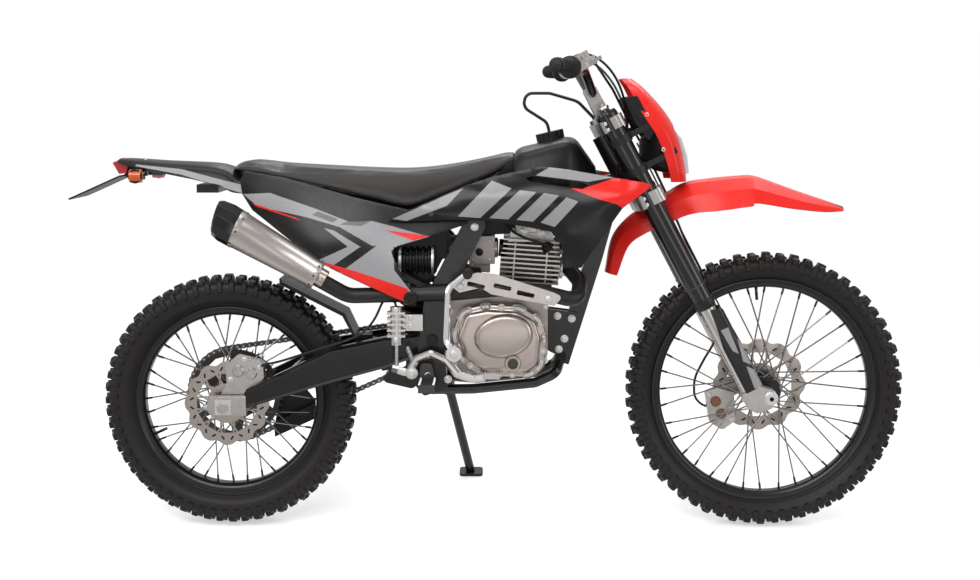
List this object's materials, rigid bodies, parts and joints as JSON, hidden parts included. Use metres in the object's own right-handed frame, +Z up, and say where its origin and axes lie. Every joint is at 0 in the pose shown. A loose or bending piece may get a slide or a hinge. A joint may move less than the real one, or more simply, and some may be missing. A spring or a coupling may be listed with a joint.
{
  "type": "dual sport motorcycle",
  "caption": "Dual sport motorcycle on its side stand, with knobbly spoked wheels, turning steering, long flat seat, high fenders and a side silencer.",
  "frame": {"origin": "on the floor under the middle of the parked motorcycle", "axes": "+X forward along the wheels, +Y to the rider's left and the side the motorcycle leans to, +Z up"},
  "size_m": [2.083, 0.8099, 1.2283],
  "materials": {
    "black_frame": "satin",
    "black_plastic": "satin",
    "cast_grey": "cast",
    "bare_alloy": "brushed",
    "steel": "brushed",
    "chrome": "polished",
    "red_plastic": "gloss",
    "tank_black": "satin",
    "panel_graphic": "gloss",
    "seat_cover": "grained",
    "rubber": "matt",
    "tyre": "matt",
    "lens": "clear",
    "red_lens": "gloss",
    "amber_lens": "gloss",
    "black_pipe": "satin",
    "silencer_metal": "brushed"
  },
  "bodies": {
    "chassis": {"frame": "black_frame", "subframe": "black_frame", "swingarm": "black_frame", "pivot_bolt": "steel", "shock": "black_frame", "engine_cases": "cast_grey", "engine_cylinder": "bare_alloy", "clutch_cover": "cast_grey", "carburettor": "bare_alloy", "airbox": "black_plastic", "exhaust_pipe": "black_pipe", "heat_shield": "bare_alloy", "silencer": "silencer_metal", "fuel_tank": "tank_black", "fuel_cap": "black_plastic", "seat": "seat_cover", "shrouds": "panel_graphic", "side_panels": "panel_graphic", "rear_fender": "black_plastic", "tail_lamp": "red_lens", "plate_bracket": "black_plastic", "indicators": "amber_lens", "foot_pegs": "bare_alloy", "brake_pedal": "bare_alloy", "gear_lever": "steel", "kick_start": "chrome", "chain": "steel", "chain_guide": "black_plastic", "rear_caliper": "bare_alloy", "rear_master_cylinder": "bare_alloy", "rear_axle": "bare_alloy", "vent_hose": "rubber", "mud_flap": "black_plastic"},
    "side_stand": {"side_stand": "black_frame"},
    "steering": {"triple_clamps": "bare_alloy", "fork_outer_tubes": "black_pipe", "fork_legs": "bare_alloy", "fork_guards": "black_plastic", "handlebar": "bare_alloy", "grips": "rubber", "hand_controls": "bare_alloy", "headlamp_mask": "red_plastic", "headlamp_lens": "lens", "mask_straps": "rubber", "front_fender": "red_plastic", "front_caliper": "bare_alloy", "brake_hose": "rubber", "front_axle": "steel"},
    "front_wheel": {"front_tyre": "tyre", "front_rim": "black_frame", "front_spokes": "steel", "front_hub": "black_frame", "front_disc": "steel"},
    "rear_wheel": {"rear_tyre": "tyre", "rear_rim": "black_frame", "rear_spokes": "steel", "rear_hub": "black_frame", "rear_disc": "steel", "rear_sprocket": "steel"}
  },
  "joints": [
    {"name": "steering", "type": "hinge", "parent": "chassis", "child": "steering", "pos_m": [0.35469, -0.05297, 0.83971], "axis": [-0.4695, 0.1533, 0.8695], "range_deg": [-38, 38]},
    {"name": "front_wheel_spin", "type": "hinge", "parent": "steering", "child": "front_wheel", "pos_m": [0.692, -0.13982, 0.34711], "axis": [0, 0.9848, -0.1736], "continuous": true},
    {"name": "rear_wheel_spin", "type": "hinge", "parent": "chassis", "child": "rear_wheel", "pos_m": [-0.664, -0.14486, 0.31855], "axis": [0, 0.9848, -0.1736], "continuous": true},
    {"name": "side_stand_fold", "type": "hinge", "parent": "chassis", "child": "side_stand", "pos_m": [-0.116, -0.00044, 0.30832], "axis": [0, 0.9427, 0.3336], "range_deg": [0, 98]}
  ]
}
